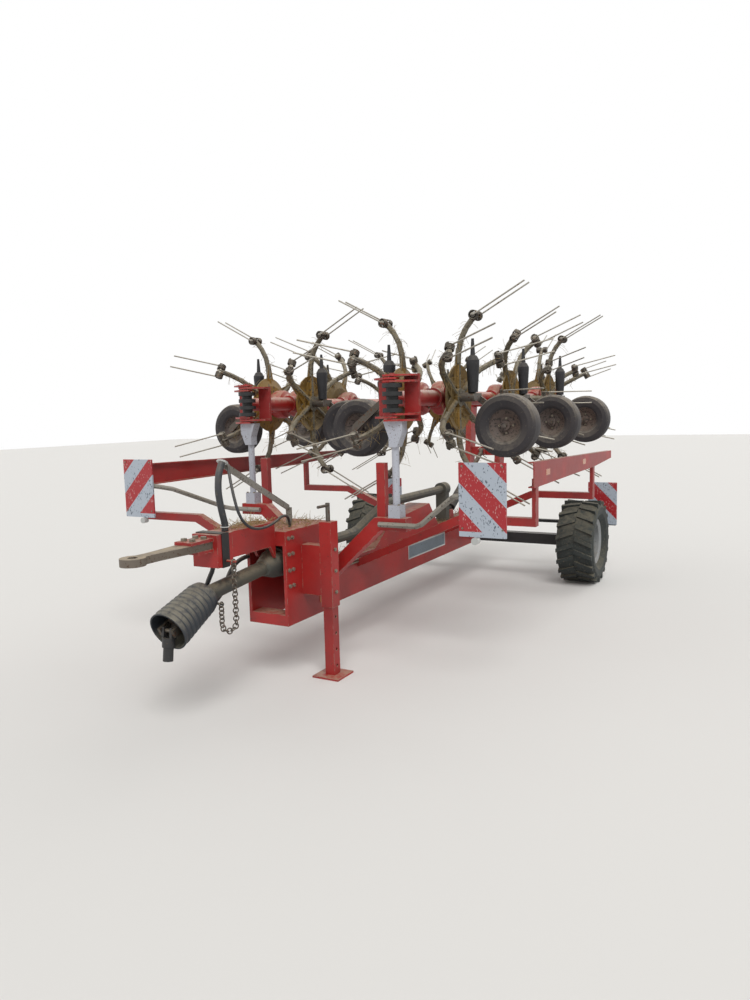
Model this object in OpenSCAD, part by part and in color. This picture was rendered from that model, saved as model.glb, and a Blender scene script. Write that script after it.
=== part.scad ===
// Trailed hay tedder with ten rotors, folded for the road and parked on its jack.
// X is the machine's left, Y runs to its rear, Z is up and the ground is at 0.
// Sizes are millimetres. Positions below are measured from the road axle.

/* [Running gear] */
// Outside diameter of a road tyre over its lugs
tyre_d = 780; // [700:5:860]
// Width of a road tyre
tyre_w = 340; // [280:5:380]
// Diameter of the rim seat under a road tyre
rim_d = 410; // [380:5:460]
// Distance between the middles of the road tyres
track = 2260; // [2100:10:2300]
// Lugs on each side of a road tyre
tyre_lugs = 20; // [16:1:24]
// Outside diameter of a gauge wheel
gauge_d = 410; // [360:5:440]
// Width of a gauge wheel
gauge_w = 165; // [130:5:180]

/* [Chassis] */
// Width of the main beam
beam_w = 200; // [160:5:240]
// Underside of the main beam above the ground
beam_z = 350; // [320:5:380]
// Height of the main beam
beam_h = 280; // [240:5:300]
// Rear end of the main beam, behind the axle
beam_rear = 420; // [400:5:440]
// Length of the gantry ahead of the main beam
gantry_len = 510; // [480:5:540]
// Width of the gantry over its side plates
gantry_w = 300; // [280:5:320]
// Middle of the drawbar tube above the ground
drawbar_z = 930; // [900:5:950]
// Tip of the towing eye, ahead of the gantry
eye_reach = 1140; // [1110:10:1200]
// Outer width of the square jack tube
jack_w = 84; // [70:2:100]
// Bore of the towing eye
eye_bore = 50; // [40:1:60]

/* [Rotors] */
// Height of all rotor axes above the ground, folded
rotor_z = 1740; // [1700:5:1780]
// Distance between rotor axes
pitch = 1060; // [1040:5:1100]
// Radius of a rotor at its tine tips
rotor_r = 700; // [660:5:710]
// Radius of a rotor at its tine coils
coil_r = 520; // [490:5:530]
// Arms on each rotor
arms = 6; // [5:1:6]
// Root hinge pin outwards of its centre rotor
root_reach = 260; // [250:5:280]
// Distance between a wing tube and its folded tip tube
fold_gap = 180; // [160:5:190]
// Rear rotor of the left wing, ahead of the axle
wing_rear = 380; // [370:5:400]
// Setback of the right wing behind the left one
wing_shift = 360; // [340:5:380]
// Centre tube behind the axle
centre_y = 450; // [440:5:470]

/* [Guards and boards] */
// Gap between the tines and the guard rail beside them
rail_gap = 50; // [45:1:70]
// Top of a guard rail at its front
rail_top = 1320; // [1290:5:1325]
// Width of a warning board
board_w = 282; // [260:1:300]
// Height of a warning board
board_h = 423; // [400:1:440]

/* [Hidden] */
$fn = 48;
wheel_axial = 450;
wheel_drop = 190;
tine_axial = 580;
coil_axial = 240;
gear_half = 75;
pivot_y = 310;
pivot_z = 750;
wing_x = pitch / 2 + root_reach;
tip_x = wing_x - fold_gap;
wing_front = wing_rear + 2 * pitch;
hinge_y = -wing_front - pitch / 2;
hinge_x = (wing_x + tip_x) / 2;
beam_front = -hinge_y - 80;
gantry_front = beam_front + gantry_len;
head_front = gantry_front + 550;
eye_tip = gantry_front + eye_reach;
jack_x = 330;
jack_y = hinge_y - 220;
rail_x = wing_x + tine_axial + rail_gap;
board_x = rail_x - 90;
board_y = hinge_y - 170;
board_low = 937;
rear_reach = centre_y + wheel_axial + gauge_d / 2;
axle_y = (eye_tip - rear_reach) / 2;
right_front = wing_front - wing_shift;

// Rotor table: x, y, yaw of the underside (0 left, 180 right, 90 rear), phase of its arms
units = [
  [wing_x, -wing_front, 0, 0],
  [wing_x, -wing_front + pitch, 0, 30],
  [wing_x, -wing_front + 2 * pitch, 0, 0],
  [tip_x, -wing_front, 180, 0],
  [-wing_x, -right_front, 180, 0],
  [-wing_x, -right_front + pitch, 180, 30],
  [-wing_x, -right_front + 2 * pitch, 180, 0],
  [-tip_x, -right_front, 0, 0],
  [pitch / 2, centre_y, 90, 0],
  [-pitch / 2, centre_y, 90, 30]
];

// Shared shapes
module at_axle() translate([0, axle_y, 0]) children();
module both() { children(); mirror([1, 0, 0]) children(); }
module block(a, b) translate(a) cube([b.x - a.x, b.y - a.y, b.z - a.z]);
module rod(a, b, r) {
  d = b - a;
  translate(a) rotate([0, acos(d.z / norm(d)), atan2(d.y, d.x)]) cylinder(r = r, h = norm(d));
}
// Bent tube: a ring of sides corners stands square to the path at each point; ref lies off the path
module bent_tube(p, r, sides = 8, ref = [0, 1, 0]) {
  n = len(p);
  d = [for (i = [0 : n - 1]) let (v = p[min(i + 1, n - 1)] - p[max(i - 1, 0)]) v / norm(v)];
  points = [for (i = [0 : n - 1], j = [0 : sides - 1])
    let (c = cross(d[i], ref), u = c / norm(c), v = cross(d[i], u), a = 360 * j / sides)
    p[i] + r * (cos(a) * u + sin(a) * v)];
  walls = [for (i = [0 : n - 2], j = [0 : sides - 1]) let (k = (j + 1) % sides)
    [i * sides + j, (i + 1) * sides + j, (i + 1) * sides + k, i * sides + k]];
  ends = [[for (j = [0 : sides - 1]) j], [for (j = [sides - 1 : -1 : 0]) (n - 1) * sides + j]];
  polyhedron(points, concat(ends, walls), convexity = 4);
}
module along_x(x0, x1, r) translate([x0, 0, 0]) rotate([0, 90, 0]) cylinder(r = r, h = x1 - x0);
module along_y(y0, y1, r) translate([0, y0, 0]) rotate([-90, 0, 0]) cylinder(r = r, h = y1 - y0);
// Plate drawn in Y and Z, from x0 to x1
module side_plate(x0, x1) translate([x0, 0, 0]) rotate([90, 0, 90]) linear_extrude(x1 - x0) children();
// Plate drawn in X and Z, from y0 to y1
module front_plate(y0, y1) translate([0, y1, 0]) rotate([90, 0, 0]) linear_extrude(y1 - y0) children();
// Rotor frame of reference: local Z to the rotor's underside, local X down
module unit(i) at_axle() translate([units[i].x, units[i].y, rotor_z]) rotate([0, 90, units[i].z]) children();

// Chassis
module main_beam() color("red") at_axle() {
  top = beam_z + beam_h;
  difference() {
    block([-beam_w / 2, -beam_front, beam_z], [beam_w / 2, beam_rear, top]);
    block([-beam_w, -50.3, beam_z - 50], [beam_w, 50.3, tyre_d / 2 + 50.3]);
  }
  side_plate(-beam_w / 2, beam_w / 2)
    polygon([[-2250, top - 5], [-1980, top + 170], [-1250, top + 230], [-1050, top - 5]]);
  both() difference() {
    side_plate(beam_w / 2 - 5, beam_w / 2 + 22)
      polygon([[pivot_y - 130, beam_z + 40], [pivot_y + 105, beam_z + 40], [pivot_y + 105, 700],
        [pivot_y + 60, pivot_z + 65], [pivot_y - 60, pivot_z + 65], [pivot_y - 110, 700]]);
    translate([0, pivot_y, pivot_z]) along_x(0, 400, 25.05);
  }
  for (s = [-1, 1]) side_plate(s * 32 - 8, s * 32 + 8)
    polygon([[ram_foot.y - 60, beam_z + beam_h - 2], [ram_foot.y - 30, ram_foot.z + 25],
      [ram_foot.y + 30, ram_foot.z + 25], [ram_foot.y + 60, beam_z + beam_h - 2]]);
  translate([0, ram_foot.y, ram_foot.z]) along_x(-40, 40, 14.95);
}

module gantry() color("red") at_axle() {
  half = gantry_w / 2;
  difference() {
    union() {
      block([-half, -gantry_front, drawbar_z - 75], [half, -beam_front + 5, drawbar_z + 15]);
      both() block([half - 22, -gantry_front, beam_z], [half, -beam_front + 5, drawbar_z]);
      block([-half, -gantry_front, beam_z], [half, -gantry_front + 110, beam_z + 70]);
      block([-half, -beam_front - 30, beam_z], [half, -beam_front, drawbar_z]);
    }
    translate([0, 0, 765]) along_y(-beam_front - 60, -beam_front + 20, 38.4);
  }
  block([half, jack_y - 40, 520], [jack_x - jack_w / 2, jack_y + 40, 840]);
}

module drawbar() color("red") at_axle() {
  block([-75, 80 - head_front, drawbar_z - 75], [75, -gantry_front, drawbar_z + 75]);
  block([-90, -head_front, drawbar_z - 110], [90, 130 - head_front, drawbar_z + 75]);
  translate([0, chain_top.y, chain_top.z + pin_rise]) along_x(85, chain_top.x + 16, pin_r);
  block([-62, -head_front - 170, drawbar_z + 40.3], [62, 5 - head_front, drawbar_z + 58]);
  block([-62, -head_front - 120, drawbar_z - 18], [62, 5 - head_front, drawbar_z - 0.3]);
  both() side_plate(55, 75)
    polygon([[-gantry_front - 140, drawbar_z + 70], [-gantry_front - 5, drawbar_z - 150],
      [-gantry_front, drawbar_z - 150], [-gantry_front, drawbar_z + 70]]);
}

module drawbar_eye() color("dimgray") at_axle() difference() {
  union() {
    translate([0, 0, drawbar_z]) linear_extrude(40)
      polygon([[-58, -head_front - 0.3], [-58, -head_front - 180], [-38, -eye_tip + 220],
        [-38, -eye_tip + 75], [38, -eye_tip + 75], [38, -eye_tip + 220],
        [58, -head_front - 180], [58, -head_front - 0.3]]);
    translate([0, -eye_tip + 65, drawbar_z]) cylinder(r = 65, h = 40);
  }
  translate([0, -eye_tip + 65, drawbar_z - 5]) cylinder(r = eye_bore / 2, h = 50);
}

module at_jack() at_axle() translate([jack_x, jack_y, 0]) children();
module post(half, z0, z1) block([-half, -half, z0], [half, half, z1]);
module jack_tube() color("red") at_jack() difference() {
  post(jack_w / 2, 450, 990);
  post(jack_w / 2 - 7.6, 440, 982);
}

module jack_leg() color("red") at_jack() {
  difference() {
    post(jack_w / 2 - 8, 5, 640);
    post(jack_w / 2 - 13, -5, 650);
    for (z = [70 : 105 : 385]) translate([-60, 0, z]) rotate([0, 90, 0]) cylinder(r = 10, h = 120);
  }
  post(95, 0, 12);
}

module jack_crank() color("silver") at_jack() {
  translate([0, 0, 990]) cylinder(r = 14, h = 115);
  rod([0, 0, 1090], [0, -110, 1090], 9);
}

module axle_beam() color("black") at_axle() {
  hub_x = track / 2 - 180;
  block([-hub_x, -50, tyre_d / 2 - 50], [hub_x, 50, tyre_d / 2 + 50]);
  both() translate([0, 0, tyre_d / 2]) along_x(hub_x - 1, track / 2 + 60, 30);
}

// Road wheels, drawn round their own axis along X with the outer side at +X
module rim() rotate([0, 90, 0]) rotate_extrude() polygon([
  [30.05, -60], [75, -60], [75, 20], [150, 30], [rim_d / 2 - 30, -60], [rim_d / 2 - 30, -tyre_w / 2 + 60],
  [rim_d / 2 + 8, -tyre_w / 2 + 45], [rim_d / 2 + 8, -tyre_w / 2 + 53], [rim_d / 2 - 22, -tyre_w / 2 + 66],
  [rim_d / 2 - 22, tyre_w / 2 - 66], [rim_d / 2 + 8, tyre_w / 2 - 53], [rim_d / 2 + 8, tyre_w / 2 - 45],
  [rim_d / 2 - 30, tyre_w / 2 - 60], [rim_d / 2 - 30, -44], [150, 44], [70, 36], [70, 90], [30.05, 90]]);

module tyre() {
  carcass = tyre_d / 2 - 24;
  rotate([0, 90, 0]) rotate_extrude() polygon([
    [rim_d / 2 + 8.3, -tyre_w / 2 + 53.7], [rim_d / 2 + 8.3, -tyre_w / 2 + 42],
    [rim_d / 2 + 60, -tyre_w / 2 + 6], [carcass - 40, -tyre_w / 2], [carcass - 12, -tyre_w / 2 + 16],
    [carcass, -tyre_w / 2 + 60], [carcass, tyre_w / 2 - 60],
    [carcass - 12, tyre_w / 2 - 16], [carcass - 40, tyre_w / 2], [rim_d / 2 + 60, tyre_w / 2 - 6],
    [rim_d / 2 + 8.3, tyre_w / 2 - 42], [rim_d / 2 + 8.3, tyre_w / 2 - 53.7],
    [rim_d / 2 - 21.7, tyre_w / 2 - 66.7], [rim_d / 2 - 21.7, -tyre_w / 2 + 66.7]]);
  top = sqrt(tyre_d * tyre_d / 4 - 80 * 80);
  for (i = [0 : tyre_lugs - 1], s = [0, 1])
    rotate([i * 360 / tyre_lugs + s * 180 / tyre_lugs - atan2(80, top), 0, 0]) mirror([s, 0, 0])
      translate([0, 0, -top]) linear_extrude(45)
        polygon([[4, -18], [tyre_w / 2 - 8, 44], [tyre_w / 2 - 8, 80], [4, 22]]);
}

module wheel_at(side) at_axle() translate([side * track / 2, 0, tyre_d / 2]) children();
module road_rim_left() color("lightgray") wheel_at(1) rim();
module road_rim_right() color("lightgray") wheel_at(-1) mirror([1, 0, 0]) rim();
module road_tyre_left() color("dimgray") wheel_at(1) tyre();
module road_tyre_right() color("dimgray") wheel_at(-1) mirror([1, 0, 0]) tyre();

// Rests for the folded wings: side, y, and where the arm meets the beam or gantry
rests = [[1, hinge_y, gantry_w / 2], [-1, hinge_y + wing_shift, beam_w / 2]];
module rest_frame(r) at_axle() translate([0, r[1], 0]) mirror([r[0] < 0 ? 1 : 0, 0, 0]) children();
module rest_arms() color("red") for (r = rests) rest_frame(r) {
  front_plate(-40, 40) polygon([[r[2], 500], [r[2], 620], [hinge_x - 140, 1000], [hinge_x + 80, 1000],
    [hinge_x + 80, 920], [hinge_x - 100, 920]]);
  block([hinge_x - 140, 0, 990], [hinge_x - 80, 45, 1340]);
}

module rest_posts() color("white") for (r = rests) rest_frame(r) translate([hinge_x, 0, 0]) {
  block([-40, -40, 1000.3], [40, 40, 1080]);
  translate([0, 0, 1070]) cylinder(r = 23, h = 420);
  front_plate(-35, 35) polygon([[-28, 1440], [28, 1440], [65, 1530], [65, rotor_z - 142.3],
    [-65, rotor_z - 142.3], [-28, 1500]]);
}

module guard_rails() color("red") for (s = [1, -1]) at_axle() mirror([s < 0 ? 1 : 0, 0, 0]) {
  front = s > 0 ? hinge_y + 470 : hinge_y - 90;
  side_plate(rail_x + 6, rail_x + 14)
    polygon([[front, rail_top - 165], [front, rail_top], [-250, rail_top - 55], [-250, rail_top - 120],
      [-900, rail_top - 150]]);
  side_plate(rail_x - 26, rail_x + 14)
    polygon([[front, rail_top - 9], [front, rail_top], [-250, rail_top - 55], [-250, rail_top - 64]]);
  side_plate(rail_x - 26, rail_x + 14)
    polygon([[front, rail_top - 165], [front, rail_top - 157], [-900, rail_top - 142],
      [-900, rail_top - 150]]);
  for (y = [front + 80, -900]) {
    block([rail_x - 18, y - 30, 905], [rail_x + 8, y + 30, rail_top - 110]);
    start = y < -beam_front + 40 ? gantry_w / 2 : beam_w / 2;
    front_plate(y - 30, y + 30)
      polygon([[start, 540], [start, 600], [900, 955], [rail_x + 8, 955], [rail_x + 8, 900], [925, 900]]);
  }
}

module front_boards() color("white") at_axle() both()
  block([board_x - board_w / 2, board_y - 6, board_low],
    [board_x + board_w / 2, board_y + 6, board_low + board_h]);

module rear_boards() color("white") at_axle() both()
  block([1060, 497.7, 480], [1060 + board_w, 509.7, 480 + board_h]);

module board_arms() color("silver") for (r = rests) rest_frame(r)
  bent_tube([[hinge_x - 100, -57.3, 960], [hinge_x + 160, -57.3, 960],
    [900, board_y / 12 - r[1] / 12 - 57, 975],
    [1100, board_y - r[1] + 100, 1140], [1150, board_y - r[1] + 30, 1160],
    [1190, board_y - r[1] + 23.3, 1165], [board_x + 90, board_y - r[1] + 23.3, 1165]], 17, 8);

module light_bar() color("black") at_axle() {
  block([-1330, 510, 470], [1330, 560, 500]);
  block([-40, beam_rear, 440], [40, 511, 530]);
}

module driveline() color("dimgray") at_axle() {
  bent_tube([[0, -beam_front - 100, 765], [0, -2400, 765], [0, -2330, 778], [0, -1920, 917],
    [0, -1850, 930], [0, -720, 930]], 38, 12, [1, 0, 0]);
  translate([0, 0, 750]) along_y(shaft_back.y - 14.2, -beam_front - 90, 55);
  translate([0, 0, 930]) along_y(-790, -690, 62);
  block([-50, -780, beam_z + beam_h + 0.3], [50, -700, 900]);
}

// Towing drive shaft: a guard tube to the bend, then a ribbed cone that droops over the joint
shaft_back = [0, -beam_front - 380, 735];
shaft_bend = [0, -gantry_front - 574, 665];
shaft_len = norm(shaft_bend - shaft_back);
shaft_drop = atan2(shaft_back.z - shaft_bend.z, shaft_back.y - shaft_bend.y);
cone_drop = 18;
cone_len = 320;
yoke_drop = 59;
yoke_at = 310;
module on_shaft() at_axle() translate(shaft_back) rotate([0, 90 + shaft_drop, -90]) children();
module on_cone() on_shaft() translate([0, 0, shaft_len]) rotate([0, cone_drop, 0]) children();
module pto_guard() color("dimgray") {
  on_shaft() rotate_extrude() polygon([[0, 20], [98, 20], [98, 40], [88, 46], [88, 90], [56, 170],
    [45, 180], [45, shaft_len - 5], [30, shaft_len - 5], [30, shaft_len - 28], [0, shaft_len - 28]]);
  at_axle() translate([0, chain_end.y, chain_end.z + pin_rise]) along_x(15, chain_end.x + 16, pin_r);
  on_cone() rotate_extrude() polygon(concat(
    [[25.05, -12], [30, -30], [52, -30], [86, -6], [93, 14]],
    [for (k = [0 : 7]) each [[94 + k * 2.4, 30 + k * 34], [99 + k * 2.4, 36 + k * 34],
      [99 + k * 2.4, 46 + k * 34], [94 + k * 2.4, 52 + k * 34]]],
    [[116, cone_len - 8], [116, cone_len], [108, cone_len], [86, 24], [70, 10], [25.05, 10]]));
}
module pto_shaft() color("gray") on_cone() {
  translate([0, 0, -10]) cylinder(r = 25, h = yoke_at - 80);
  translate([0, 0, yoke_at - 95]) cylinder(r = 46, h = 47);
  for (s = [-1, 1]) translate([-22, s * 46 - 9, yoke_at - 55]) cube([44, 18, 77]);
  translate([0, 0, yoke_at]) along_y(-54, 54, 12);
}
module pto_yoke() color("gray") on_cone() translate([0, 0, yoke_at]) rotate([0, yoke_drop, 0]) difference() {
  union() {
    translate([0, 0, 36]) cylinder(r = 34, h = 50);
    translate([0, 0, 85]) cylinder(r = 27, h = 75);
    for (s = [-1, 1]) translate([-18, s * 28 - 8, -18]) cube([36, 16, 62]);
  }
  translate([0, 0, 30]) cylinder(r = 17.5, h = 140);
  along_y(-60, 60, 12.05);
}

// Chain from a pin on the drawbar down and back up to a pin on the shaft guard
link_r = 16;
link_wire = 3.8;
link_step = 22.9;
pin_r = 6.6;
pin_rise = 4.7;
chain_top = [140, 70 - head_front, 847.3];
chain_side = atan2(-0.9022, -0.4313);
chain_down = 16;
chain_up = 6;
// Slope of each link from the top to the end
slopes = concat([for (k = [1 : chain_down]) -90], [-60, -30, 0, 30, 60], [for (k = [1 : chain_up]) 90]);
last_link = len(slopes) - 1;
function slope_dir(a) = [cos(a) * cos(chain_side), cos(a) * sin(chain_side), sin(a)];
function link_at(k) = k == 0 ? chain_top
  : link_at(k - 1) + link_step / 2 * (slope_dir(slopes[k - 1]) + slope_dir(slopes[k]));
chain_end = link_at(last_link);
// One link: a ring of 12 by 6 corners, standing in X and Z
module link() rotate([90, 0, 0]) polyhedron(
  [for (i = [0 : 11], j = [0 : 5]) let (q = link_r + link_wire * cos(60 * j))
    [q * cos(30 * i + 15), q * sin(30 * i + 15), link_wire * sin(60 * j)]],
  [for (i = [0 : 11], j = [0 : 5]) let (m = (i + 1) % 12, n = (j + 1) % 6)
    [i * 6 + j, i * 6 + n, m * 6 + n, m * 6 + j]]);
// The end links face along X, so the links between them twist evenly
module chain() color("gray") at_axle() for (k = [0 : last_link])
  translate(link_at(k)) rotate([0, 90 - slopes[k], chain_side])
    rotate([0, 0, (chain_side + 90) * (1 - 2 * k / last_link) + 90 * (k % 2)]) link();

// Hoses, as routes of round-number points
hose_riser_path = [[30, -3870, 1005.4], [30, -3870, 1050], [30, -3886, 1110], [30, -3902, 1180],
  [30, -3910, 1250], [29, -3898, 1330], [26.4, -3862, 1402]];
hose_loop_path = [[15.4, -3800, 1380], [32, -3815, 1350], [52, -3830, 1300], [74, -3842, 1240],
  [92, -3846, 1180], [104, -3838, 1120], [110, -3810, 1065], [112, -3765, 1025], [112, -3710, 1002],
  [112, -3650, 993], [112, -3590, 994], [110, -3530, 1003], [106, -3475, 1016], [101, -3440, 1026],
  [94, -3405, 1031], [86, -3369, 1030], [78, -3338, 1024], [72, -3312, 1006.5], [68, -3295, 980.5],
  [66, -3289, 960], [66, -3289, 945.5]];
hose_drop_path = [[-44, -3906, 819.6], [-44, -3906, 785], [-56, -3918, 745], [-70, -3928, 705],
  [-86, -3933, 662], [-102, -3928, 615], [-120, -3910, 578], [-138, -3878, 552], [-152, -3834, 541],
  [-162, -3785, 545], [-168, -3738, 560], [-170, -3698, 585], [-170, -3665, 620], [-167, -3640, 662],
  [-161, -3616, 704], [-153, -3585, 739], [-146, -3545, 762], [-141, -3500, 773], [-141, -3460.4, 773]];
module hose_riser() color("black") at_axle() bent_tube(hose_riser_path, 20, 12, [1, 0, 0]);
module hose_loop() color("black") at_axle() bent_tube(hose_loop_path, 9, 8, [1, 0.05, 0]);
module hose_drop() color("black") at_axle() bent_tube(hose_drop_path, 14, 10, [1, 0.05, 0]);

// Lamps: clear ones under the front boards, red ones on the rear bar
module lamps() color("red") at_axle() both() {
  translate([board_x - 40, 0, board_low - 21.3]) along_y(board_y - 25, board_y + 15, 21);
  translate([960, 0, 485]) along_y(560, 590, 48);
}

module hose_bracket() color("silver") at_axle() {
  front_plate(board_y - 6, board_y + 6)
    polygon([[-20, drawbar_z + 15.3], [20, drawbar_z + 15.3], [20, 1060], [-20, 1060]]);
  side_plate(-6, 6)
    polygon([[board_y, 1035], [board_y, 1075], [170 - head_front, 1410], [170 - head_front, 1370]]);
}

// Rotor unit, carried by the lift frame
module lift_frame() color("red") at_axle() {
  both() difference() {
    union() {
      side_plate(135, 195) polygon([[pivot_y - 60, pivot_z - 40], [pivot_y + 60, pivot_z - 40],
        [centre_y + 75, rotor_z - 60], [centre_y + 75, rotor_z], [centre_y - 75, rotor_z],
        [centre_y - 75, rotor_z - 60]]);
      translate([0, pivot_y, pivot_z]) along_x(135, 195, 70);
    }
    translate([0, centre_y, rotor_z]) along_x(130, 200, 50.3);
  }
  both() translate([0, pivot_y, pivot_z]) along_x(beam_w / 2 - 4, 220, 25);
  block([-140, 350, 1180], [140, 430, 1270]);
  for (s = [-1, 1]) side_plate(s * 32 - 7, s * 32 + 7)
    polygon([[ram_head.y - 25, ram_head.z - 25], [ram_head.y - 25, ram_head.z + 25],
      [352, 1265], [352, 1185]]);
  translate([0, ram_head.y, ram_head.z]) along_x(-38, 38, 14);
}

// Lift cylinder: from its pin on the beam to its pin on the lift frame
ram_foot = [0, -620, 700];
ram_head = [0, 300, 1225];
module on_ram() {
  d = ram_head - ram_foot;
  at_axle() translate(ram_foot) rotate([0, acos(d.z / norm(d)), atan2(d.y, d.x)]) children();
}
ram_len = norm(ram_head - ram_foot);
module lift_barrel() color("black") on_ram() difference() {
  union() {
    translate([0, 0, 75]) cylinder(r = 42, h = 590);
    cylinder(r = 17, h = 80);
    along_y(-18, 18, 34);
  }
  translate([0, 0, 95]) cylinder(r = 32, h = 525);
  translate([0, 0, 95]) cylinder(r = 22.05, h = 665);
  along_y(-60, 60, 15.05);
}
module lift_rod() color("silver") on_ram() difference() {
  union() {
    translate([0, 0, 520]) cylinder(r = 22, h = ram_len - 540);
    translate([0, 0, 520]) cylinder(r = 31.5, h = 30);
    translate([0, 0, ram_len]) along_y(-18, 18, 32);
  }
  translate([0, 0, ram_len]) along_y(-60, 60, 16);
}

// Gearbox: a turned housing with collars where it clamps its tube
module gearbox() {
  rotate_extrude() polygon([[0, -gear_half], [70, -gear_half], [82, -60], [104, -50], [112, -30], [112, 28],
    [104, 48], [90, 56], [90, gear_half], [0, gear_half]]);
  along_y(-155, -95, 64);
  along_y(95, 155, 64);
}

// Hinge leaves: flat plates drawn in X and Y round an upright pin
leaf = 12;
half_hinge = (wing_x - tip_x) / 2;
module at_tip_hinge(r) rest_frame(r) translate([hinge_x, 0, rotor_z]) children();
module at_root_hinge(s) at_axle() mirror([s < 0 ? 1 : 0, 0, 0])
  translate([wing_x, centre_y - 55, rotor_z]) children();
module leaves(levels) for (z = levels) translate([0, 0, z]) linear_extrude(leaf) children();

module centre_frame() color("red") {
  at_axle() translate([0, centre_y, rotor_z]) along_x(-wing_x + 100, wing_x - 100, 50);
  for (i = [8, 9]) unit(i) gearbox();
  for (s = [1, -1]) at_root_hinge(s) {
    block([-112, 5, -100], [-90, 105, 100]);
    leaves([-100, 88]) difference() {
      polygon([[-108, 8], [-108, 98], [20, 35], [36, 0], [20, -32], [-30, -32]]);
      circle(r = 16.5);
    }
  }
}

module wing(first, r, s) {
  at_axle() translate([units[first][0], 0, rotor_z]) along_y(r[1] + 70, centre_y - 155, 50);
  for (i = [first : first + 2]) unit(i) gearbox();
  at_tip_hinge(r) {
    block([half_hinge - 50, 60, -145], [half_hinge + 50, 82, 145]);
    leaves([-142, -106, 94, 130])
      polygon([[half_hinge + 48, 62], [half_hinge + 48, 0], [45, -65], [-45, -65], [-45, -10],
        [half_hinge - 48, 62]]);
    translate([0, -25, -142]) cylinder(r = 16, h = 292);
  }
  at_root_hinge(s) {
    block([-50, -105, -120], [50, -85, 120]);
    leaves([-118, 106]) polygon([[-45, -88], [45, -88], [30, 40], [-30, 40]]);
    translate([0, 0, -126]) cylinder(r = 16, h = 252);
  }
}
module wing_frame_left() color("red") wing(0, rests[0], 1);
module wing_frame_right() color("red") wing(4, rests[1], -1);

module tip(i, r) {
  at_axle() translate([units[i][0], 0, rotor_z]) along_y(r[1] + 70, units[i][1] + 250, 50);
  unit(i) gearbox();
  at_tip_hinge(r) {
    block([-half_hinge - 50, 60, -126], [-half_hinge + 48, 82, 126]);
    leaves([-124, 112]) difference() {
      polygon([[-half_hinge - 48, 62], [-half_hinge - 48, 0], [-45, -65], [45, -65], [45, -10],
        [-half_hinge + 46, 62]]);
      translate([0, -25]) circle(r = 16.5);
    }
  }
}
module tip_frame_left() color("red") tip(3, rests[0]);
module tip_frame_right() color("red") tip(7, rests[1]);

// Finger clutch on a hinge pin: a hub with four discs
module clutch(outer, half) rotate_extrude() {
  translate([16.5, -half]) square([outer * 0.6 - 16.5, 2 * half]);
  for (k = [0 : 3]) translate([20, -half + k * (half * 2 - 26) / 3]) square([outer - 20, 26]);
}
module hinge_clutches() color("black") {
  for (r = rests) at_tip_hinge(r) translate([0, -25, 0]) clutch(62, 88);
  for (s = [1, -1]) at_root_hinge(s) clutch(44, 82);
}

module gauge_legs() color("gray") for (i = [0 : 9]) unit(i) {
  translate([0, 0, gear_half]) cylinder(r = 30, h = 235 - gear_half);
  block([-25, -10, 200], [25, 106, 235]);
  rotate([90, 0, 0]) translate([0, 0, -106]) linear_extrude(16)
    polygon([[-25, 210], [25, 210], [wheel_drop + 25, wheel_axial - 10], [wheel_drop + 15, wheel_axial + 25],
      [wheel_drop - 25, wheel_axial + 10]]);
  translate([wheel_drop, 0, wheel_axial]) along_y(-60, 100, 12.5);
}

// Rubber boots stand up from the leg heads: a swelling sleeve, a shoulder and a thin end
module leg_boots() color("black") for (i = [0 : 9]) unit(i) translate([-30.3, 0, 217]) rotate([0, -90, 0])
  rotate_extrude() polygon([[0, 0], [32, 0], [43, 185], [43, 205], [28, 232], [16, 240], [9, 345], [0, 345]]);

// Arm, radius and distance under the tube, curved down to the coils
arm_path = [[60, 112], [210, 113], [300, 119], [380, 138], [450, 176], [495, 213],
  [coil_r + 8, coil_axial + 8]];
module rotor(i) {
  rotate_extrude() polygon([[30.05, 82], [60, 82], [150, 86], [215, 112], [215, 122], [150, 100], [60, 100],
    [60, 132], [30.05, 132]]);
  for (k = [0 : arms - 1]) rotate([0, 0, units[i][3] + k * 360 / arms]) {
    bent_tube([for (q = arm_path) [q[0], 0, q[1]]], 20);
    translate([0, 0, 104]) linear_extrude(9)
      polygon([[70, -62], [190, -44], [320, -14], [320, 14], [190, 44], [70, 62]]);
    translate([coil_r, 0, coil_axial]) along_y(-52, 52, 17);
    for (s = [-1, 1]) rod([coil_r, s * 48, coil_axial], [rotor_r, s * 48, tine_axial], 5);
  }
}
module rotor_1() color("goldenrod") unit(0) rotor(0);
module rotor_2() color("goldenrod") unit(1) rotor(1);
module rotor_3() color("goldenrod") unit(2) rotor(2);
module rotor_4() color("goldenrod") unit(3) rotor(3);
module rotor_5() color("goldenrod") unit(4) rotor(4);
module rotor_6() color("goldenrod") unit(5) rotor(5);
module rotor_7() color("goldenrod") unit(6) rotor(6);
module rotor_8() color("goldenrod") unit(7) rotor(7);
module rotor_9() color("goldenrod") unit(8) rotor(8);
module rotor_10() color("goldenrod") unit(9) rotor(9);

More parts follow.
